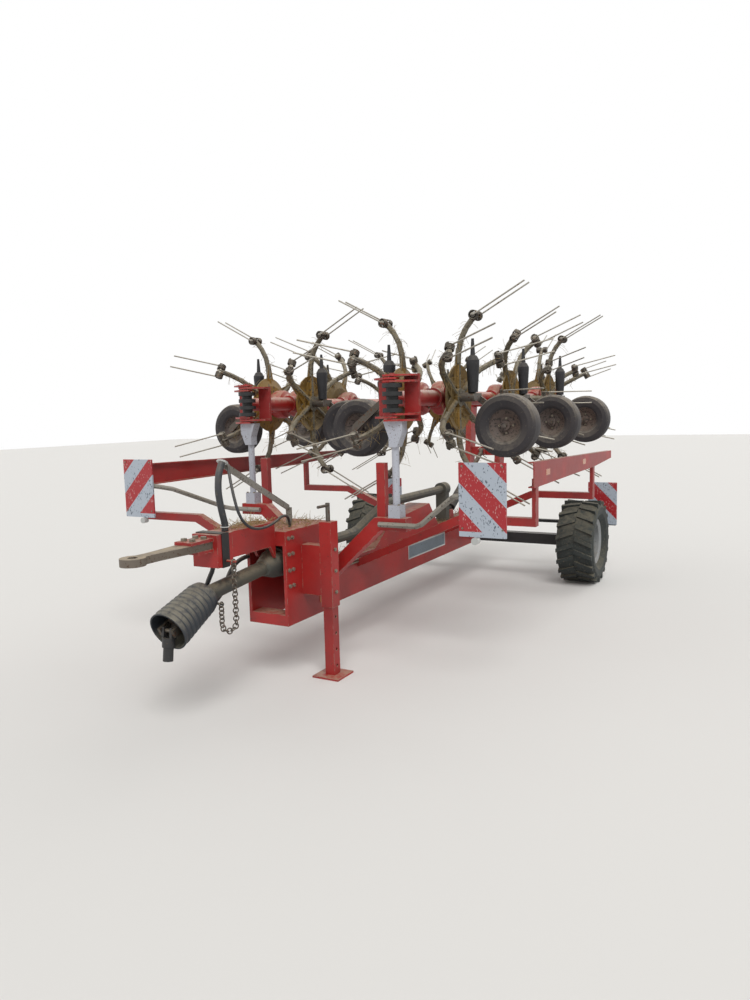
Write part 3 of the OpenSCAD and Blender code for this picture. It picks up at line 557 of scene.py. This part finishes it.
# %% [markdown]
# ## Tine coils
# Each double tine is one wire, wound into two coils beside the arm's end so that it can give way.
# The Screw modifier could wind them, but it would need an object for every coil. A coil is a helix:
# round its axis at a fixed radius, while it moves along that axis with every turn. The tube carries
# the wire's small circle along it, and one function turns it to its arm and its rotor.

# %% Coils on every arm
COIL_REACH, COIL_UNDER = 0.520, 0.240     # the coils' axis: from the rotor's axis, and under its tube
COIL_RADIUS, COIL_STEP, COIL_TURNS = 0.0275, 0.010, 4
COIL_INSIDE = 0.014                       # where a coil starts, from the middle of its arm
COIL_POINTS, WIRE_RADIUS = 13, 0.0048       # points in a turn, and the wire's radius


def on_arm(k, arm, local):
    """Points of arm 0 turned about the axis by a: (x cos a - y sin a, x sin a + y cos a, z)."""
    a = math.radians(ROTORS[k, 3] + arm * 360 / ARMS)
    x, y, z = np.asarray(local, float).T
    turned = np.stack([x * math.cos(a) - y * math.sin(a), x * math.sin(a) + y * math.cos(a), z], -1)
    return to_frame(k, turned)


def coil(k, arm, side):
    """Helix (reach + r cos t, side (inside + step t / 2 pi), under + r sin t) for t over all turns."""
    t = np.linspace(0, 2 * np.pi * COIL_TURNS, COIL_POINTS * COIL_TURNS + 1)
    along = side * (COIL_INSIDE + COIL_STEP * t / (2 * np.pi))
    helix = np.stack([COIL_REACH + COIL_RADIUS * np.cos(t), along, COIL_UNDER + COIL_RADIUS * np.sin(t)], -1)
    return tube(on_arm(k, arm, helix), WIRE_RADIUS, 6)


for k in range(len(ROTORS)):
    make_piece(f"tine_coils_{k + 1}", [coil(k, arm, side) for arm in range(ARMS) for side in (-1, 1)],
               coil_steel, f"rotor_{k + 1}")
print("coils", 2 * ARMS * len(ROTORS))

# %% [markdown]
# ## Bolts and nuts
# Bolt heads show where the real machine comes apart. A bolt here is a hexagonal peg on a round
# washer. Threads would add nothing that can be seen, and one helper with a list of places,
# directions and widths puts a bolt wherever two parts are joined. Where a bolt sits on a flat side
# of a CAD part, that side's place comes from the part's own box.

# %% Bolt helper
WASHER_WIDE, WASHER_THICK = 1.15, 0.0025    # share of the bolt's width, and metres


def bolt(spot, out, width, high):
    """A washer, and on it a hexagon of that width across its flats: its corners are 1 / cos 30 wider."""
    return [peg(spot, out, width / 2 * WASHER_WIDE, 0, WASHER_THICK, 24),
            peg(spot, out, width / 2 / math.cos(math.pi / 6), WASHER_THICK, high, 6)]


def bolts(name, places, body):
    """One piece from a list of arguments for bolt."""
    return make_piece(name, [shape for place in places for shape in bolt(*place)], pipe_steel, body,
                      smooth=False)


print("points in a bolt", sum(len(points) for points, _ in bolt((0, 0, 0), (0, 0, 1), 0.02, 0.01)))

# %% Where the CAD parts end
X, Y, Z = range(3)
LOW, HIGH = range(2)
both = (1, -1)
PROUD = 0.2    # millimetres between a bolt and the side that it sits on, so that no two faces meet


def face_of(part, axis, end):
    """Where a CAD part's box ends along an axis, in millimetres from the road axle."""
    return 1000 * (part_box(part)[end][axis] - (AXLE_Y if axis == Y else 0))


print("gantry from", round(face_of("gantry", Y, LOW)), "to", round(face_of("gantry", Y, HIGH)))

# %% Bolts on the chassis
# rows of place in millimetres from the axle, direction, and width in millimetres
eye_plate = face_of("drawbar_eye", Z, HIGH) + 18 + PROUD    # the drawbar's plate ends 18 mm above the eye
eye_bolts = [([x, y, eye_plate], [0, 0, 1], 30) for x in (-30, 30) for y in (-4140, -4050)]
POST_FOOT, POST_Y = 1080.2, {1: -3000, -1: -2640}           # tops and places of the posts' feet
post_bolts = [([s * x, POST_Y[s] + y, POST_FOOT], [0, 0, 1], 15)
              for s in both for x in (670, 730) for y in (-60, 0)]
jack_side, jack_y = face_of("jack_tube", X, HIGH) + PROUD / 2, -3250
jack_bolts = [([jack_side, jack_y, z], [1, 0, 0], 20) for z in (545, 680, 815)]
gantry_side, gantry_front = PROUD - face_of("gantry", X, LOW), face_of("gantry", Y, LOW)
gantry_bolts = [([s * gantry_side, gantry_front + y, z], [s, 0, 0], 22)
                for s in both for y in (30, 70) for z in (600, 700, 800, 900)]
beam_side = face_of("main_beam", X, HIGH) + PROUD
PIVOT_Y, PIVOT_Z = 310, 750    # the lift pivot, in the middle of its bolts
pivot_bolts = [([s * beam_side, PIVOT_Y + 80 * math.cos(a), PIVOT_Z + 50 * math.sin(a)], [s, 0, 0], 18)
               for s in both for a in (2.4, 0.7, 3.9, 5.5)]
board_front, board_side = face_of("front_boards", Y, LOW) - PROUD, face_of("front_boards", X, HIGH)
board_bolts = [([s * (board_side - x), board_front, z], [0, -1, 0], 10)
               for s in both for x in (261, 21) for z in (985, 1340)]
chassis_bolts = eye_bolts + post_bolts + jack_bolts + gantry_bolts + pivot_bolts + board_bolts
bolts("chassis_bolts",
      [(from_axle(spot), out, size / 1000, size / 2000) for spot, out, size in chassis_bolts], "chassis")
print("chassis bolts", len(chassis_bolts))


# %% Bolts on the road wheels
def circle(count):
    """The cosine and sine of count angles in equal steps round a bolt circle."""
    return [(math.cos(a), math.sin(a)) for a in np.arange(count) * 2 * math.pi / count]


WHEEL_FACE, WHEEL_CIRCLE = 1155.5, 105                  # the rim's face and its bolt circle's radius
AXLE_HEIGHT = face_of("road_tyre_left", Z, HIGH) / 2    # the wheel stands on the ground
for side, word in ((1, "left"), (-1, "right")):
    places = [from_axle([side * WHEEL_FACE, WHEEL_CIRCLE * c, AXLE_HEIGHT + WHEEL_CIRCLE * s])
              for c, s in circle(6)]
    bolts(f"road_wheel_bolts_{word}", [(place, [side, 0, 0], 0.024, 0.016) for place in places],
          f"road_wheel_{word}")
print("wheel bolts", 2 * len(places))

# %% Bolts on gauge wheels, gearboxes and arms
GAUGE_CIRCLE, GAUGE_FACE = 0.046, 0.0201      # bolt circle and half thickness of a gauge wheel's disc
GEARBOX_CIRCLE, GEARBOX_FACE = 0.06, -0.0751  # bolt circle and outer face of a gearbox's cover
ARM_END = [[0.528, 0, 0.248], [0.597, 0, 0.321]]    # the tine bolt's seat, and a point that it faces
for k in range(len(ROTORS)):
    down, across, out = rotor_axes(k)
    bolts(f"gauge_wheel_bolts_{k + 1}",
          [(to_frame(k, GAUGE_HUB + np.array([GAUGE_CIRCLE * c, end * GAUGE_FACE, GAUGE_CIRCLE * s])),
            end * across, 0.013, 0.007) for c, s in circle(4) for end in both], f"gauge_wheel_{k + 1}")
    bolts(f"gearbox_bolts_{k + 1}",
          [(to_frame(k, [GEARBOX_CIRCLE * c, GEARBOX_CIRCLE * s, GEARBOX_FACE]), -out, 0.013, 0.007)
           for c, s in circle(6)], "rotor_unit")
    ends = [on_arm(k, arm, ARM_END) for arm in range(ARMS)]
    bolts(f"tine_bolts_{k + 1}", [(a, b - a, 0.024, 0.012) for a, b in ends], f"rotor_{k + 1}")
print("gauge wheel, gearbox and arm bolts", 20 * len(ROTORS))

# %% [markdown]
# ## Pipes, plates and reflectors
# Steel pipes carry oil along the beam, held by clips. A grey plate with a pale edge is fixed to each
# side of the beam, amber reflectors sit on the gantry and the rails, and a black strap holds the
# sleeve to the drawbar. Some of these could be drawn in a material, but a real edge catches the
# light, so all of them are thin plates and tubes on the surface.

# %% Pipes and clips
PIPES = ((108, 600), (108, 582), (-108, 600))                 # x and z in millimetres
PIPE_STOPS = (-3000, -2900, -2500, -2000, -1500, -1000, -760)  # y from the axle
PIPE_RADIUS = 0.006
make_piece("oil_pipes", [tube(smooth_route(from_axle([[x, y, z] for y in PIPE_STOPS])), PIPE_RADIUS, 10)
                         for x, z in PIPES], pipe_steel, "chassis")
make_piece("pipe_clips", [plate([s * 108 - 11, y - 12, 572], [s * 108 + 11, y + 12, 610])
                          for s in both for y in range(-2800, -800, 450)],
           black_paint, "chassis", smooth=False)
print("pipes", len(PIPES))

# %% Plates, reflectors and strap
make_piece("blank_plates_edge", [plate([s * 101 - 1, -1680, 440], [s * 101 + 1, -930, 560]) for s in both],
           clear_lens, "chassis", smooth=False)
make_piece("blank_plates", [plate([s * 102 - 0.6, -1668, 452], [s * 102 + 0.6, -942, 548]) for s in both],
           plate_grey, "chassis", smooth=False)
on_gantry = [plate([s * 152 - 2, -3100, 420], [s * 152 + 2, -3060, 520]) for s in both]
on_rails = [plate([s * 1434.5 - 0.4, y, 1215], [s * 1434.5 + 0.4, y + 95, 1255])
            for s in both for y in (-2300, -1300)]
make_piece("side_reflectors", on_gantry + on_rails, amber_lens, "chassis", smooth=False)
# front and back of the strap, and its four sides: under, over, right and left of the drawbar
front, back = -3975, -3915
strap = [plate([-94, front, 816], [94, back, 820]), plate([-94, front, 1005.2], [94, back, 1010]),
         plate([-95, front, 816], [-90.2, back, 1010]), plate([90.2, front, 816], [95, back, 1010])]
make_piece("drawbar_strap", strap, black_paint, "chassis", smooth=False)
print("reflectors", len(on_gantry + on_rails))

# %% Bands round the hoses
# middle, radius and wire's radius in millimetres, and the tilt in radians
BANDS = (((20, -3852, 1398), 27, 7, 0.45), ((30, -3870, 1030), 23.5, 3.5, 0.0))
t = np.linspace(0, 2 * np.pi, 25)
for number, (middle, radius, wire, tilt) in enumerate(BANDS, 1):
    # a circle tilted about x by q: (r cos t, r sin t cos q, -r sin t sin q)
    ring = radius * np.stack([np.cos(t), np.sin(t) * math.cos(tilt), -np.sin(t) * math.sin(tilt)], -1)
    band = tube(from_axle(ring + middle), wire / 1000, 8)
    make_piece(f"hose_clamp_{number}", [band], clear_lens, "chassis")
print("bands", len(BANDS))

# %% [markdown]
# ## Hay left on the machine
# Dry stalks hang on the rotors' arms and lie on the flat tops. Hair particles could do this, but
# plain curves are easier to keep clear of moving parts. Each stalk is a three-sided tube bent by a
# random curve. The random numbers start from a fixed seed, so every run lays the same hay.

# %% A stalk
chance = np.random.default_rng(7)
STALK_RADIUS = 0.0011


def stalk(spot, reach, droop):
    """Curve spot + reach (t way + t^2 (bend - droop up)) for t from -1/2 to 1/2, way being random."""
    way = chance.normal(size=3)
    way /= np.linalg.norm(way)
    t = np.linspace(-0.5, 0.5, 6)[:, None]
    bend = chance.normal(size=3) * 0.25
    return tube(spot + reach * (t * way + t ** 2 * (bend + [0, 0, -droop])), STALK_RADIUS, 3)


print("a stalk is", 2000 * STALK_RADIUS, "mm thick")

# %% Stalks near the axis
FRAME_SIDE, BOOT_SIDE, BOOT_REACH = 0.088, 0.165, 0.43    # gearbox and boots, and how far they reach
# an arm's distance from the rotor's axis and its depth under the tube, and how far hay strays from it
ARM_REACH, ARM_UNDER = (0.07, 0.30, 0.45, 0.5), (0.112, 0.119, 0.176, 0.225)
STRAY = 0.016


def squeezed(values, low, high):
    """Values shrunk about their middle to fit the room between low and high, then moved inside it."""
    middle, half = (values.max() + values.min()) / 2, np.ptp(values) / 2
    share = min(1.0, (high - low) / 2 / half)
    return (values - middle) * share + np.clip(middle, low + half * share, high - half * share)


def hanging_stalk(k, arm):
    """A stalk along the bent arm, squeezed near the axis to lie between the gearbox and the boots."""
    angle = math.radians(ROTORS[k, 3] + 360 / ARMS * arm)
    reach = chance.uniform(ARM_REACH[0], ARM_REACH[-1])
    under = np.interp(reach, ARM_REACH, ARM_UNDER)
    spot = [reach * math.cos(angle), reach * math.sin(angle), under] + chance.normal(size=3) * STRAY
    points, faces = stalk(to_frame(k, spot), chance.uniform(0.05, 0.17), chance.uniform(0.2, 1.2))
    seen = to_rotor(k, points)
    if np.hypot(*seen[:, :2].mean(0)) < BOOT_REACH:
        seen[:, 2] = squeezed(seen[:, 2], FRAME_SIDE, BOOT_SIDE)
    return to_frame(k, seen), faces


print("room for hay near the axis", round(BOOT_SIDE - FRAME_SIDE, 3), "m")

# %% Hay on rotors and chassis
STALKS_ON_ARM, STALKS_ON_TOP = 34, 150
# flat tops: x from and to, y from and to, and height, in millimetres from the axle
TOPS = (((-95, 95), (-2900, -1500), 634), ((-70, 70), (-3850, -3480), 1007),
        ((-145, 145), (-3440, -2960), 947), ((-95, 95), (-1000, -100), 634))
for k in range(len(ROTORS)):
    make_piece(f"hay_on_rotor_{k + 1}",
               [hanging_stalk(k, arm) for arm in range(ARMS) for _ in range(STALKS_ON_ARM)],
               hay_straw, f"rotor_{k + 1}")
lying = []
for (x0, x1), (y0, y1), z in TOPS:
    for _ in range(STALKS_ON_TOP):
        spot = from_axle([chance.uniform(x0, x1), chance.uniform(y0, y1), z + chance.uniform(0, 14)])
        lying.append(stalk(spot, chance.uniform(0.04, 0.13), chance.uniform(-0.2, 0.2)))
make_piece("hay_on_chassis", lying, hay_straw, "chassis")
print("stalks", STALKS_ON_ARM * ARMS * len(ROTORS) + len(lying))

# %% [markdown]
# ## Camera
# The camera stands where the photographer stood: 1.65 m up, in front of the machine's left corner.
# It could be moved by eye until the picture looks right. Fitting known points, such as wheel hubs
# and board corners, to their places in the picture gives its direction and focal length exactly.

# %% Camera
EYE = (2.83, AXLE_Y - 7.15, 1.65)
HEADING = (-0.485, 0.875)    # which way the camera looks, seen from above
pitch, roll = math.radians(6.6), math.radians(-1.5)
camera = bpy.data.objects.new("camera", bpy.data.cameras.new("camera"))
bpy.context.scene.collection.objects.link(camera)
camera.location = EYE
look = Vector((HEADING[0] * math.cos(pitch), HEADING[1] * math.cos(pitch), -math.sin(pitch)))
camera.rotation_mode = "QUATERNION"
camera.rotation_quaternion = look.to_track_quat("-Z", "Y") @ Quaternion((0, 0, 1), roll)
camera.data.sensor_width = 36    # millimetres, as is the lens
camera.data.lens = 27
bpy.context.scene.camera = camera
print("camera", [round(v, 3) for v in camera.location])

# %% [markdown]
# ## Floor and light
# The floor is a plain pale sheet that keeps the machine's shadow. One wide sun from the front left
# gives the form, a weaker one fills the right side, and one from behind draws the tines. Area lamps
# would do near the machine, but suns reach every part of the floor alike, where a lamp would leave
# it grey far away. The world is white to the camera, in gloss and through glass, but lights the
# machine only softly.

# %% Floor
FLOOR_HALF = 40
corners = [(-FLOOR_HALF, -FLOOR_HALF, 0), (FLOOR_HALF, -FLOOR_HALF, 0), (FLOOR_HALF, FLOOR_HALF, 0),
           (-FLOOR_HALF, FLOOR_HALF, 0)]
floor_mesh = bpy.data.meshes.new("floor")
floor_mesh.from_pydata(corners, [], [(0, 1, 2, 3)])
floor = bpy.data.objects.new("floor", floor_mesh)
bpy.context.scene.collection.objects.link(floor)
# Matt studio paint: pale and without any gloss.
floor_paint, _, shader, _ = start("pale_floor")
shader.inputs["Base Color"].default_value = linear("DEDCD8")
shader.inputs["Roughness"].default_value = 0.9
floor_mesh.materials.append(floor_paint)
print("floor", 2 * FLOOR_HALF, "m wide")


# %% Suns
def sun(name, spot, width, power):
    """A sun that shines from the direction of spot; width is its apparent size in degrees."""
    light = bpy.data.lights.new(name, "SUN")
    light.angle, light.energy = math.radians(width), power
    holder = bpy.data.objects.new(name, light)
    holder.rotation_euler = (-Vector(spot)).to_track_quat("-Z", "Y").to_euler()
    bpy.context.scene.collection.objects.link(holder)


sun("key", (4, -5, 8), 35, 1.9)
sun("fill", (-7, -4, 4), 60, 0.45)
sun("back", (1, 8, 6), 50, 0.7)
print("suns", len(bpy.data.lights))

# %% World
SEEN, LIT = 1.0, 0.38    # the world's strength where it is seen, and where it only lights the machine
world = bpy.data.worlds.new("world")
bpy.context.scene.world = world
world.use_nodes = True
sky = world.node_tree
ray = add(sky, "ShaderNodeLightPath").node.outputs
mirrored = add(sky, "ShaderNodeMath", {0: ray["Is Glossy Ray"], 1: ray["Is Transmission Ray"]},
               operation="MAXIMUM")
seen = add(sky, "ShaderNodeMath", {0: ray["Is Camera Ray"], 1: mirrored}, operation="MAXIMUM")
strength = add(sky, "ShaderNodeMapRange", {"Value": seen, "To Min": LIT, "To Max": SEEN})
background = sky.nodes["Background"]
background.inputs["Color"].default_value = (1, 1, 1, 1)
sky.links.new(strength, background.inputs["Strength"])
bpy.context.scene.view_settings.view_transform = "Standard"
print("world nodes", len(sky.nodes))
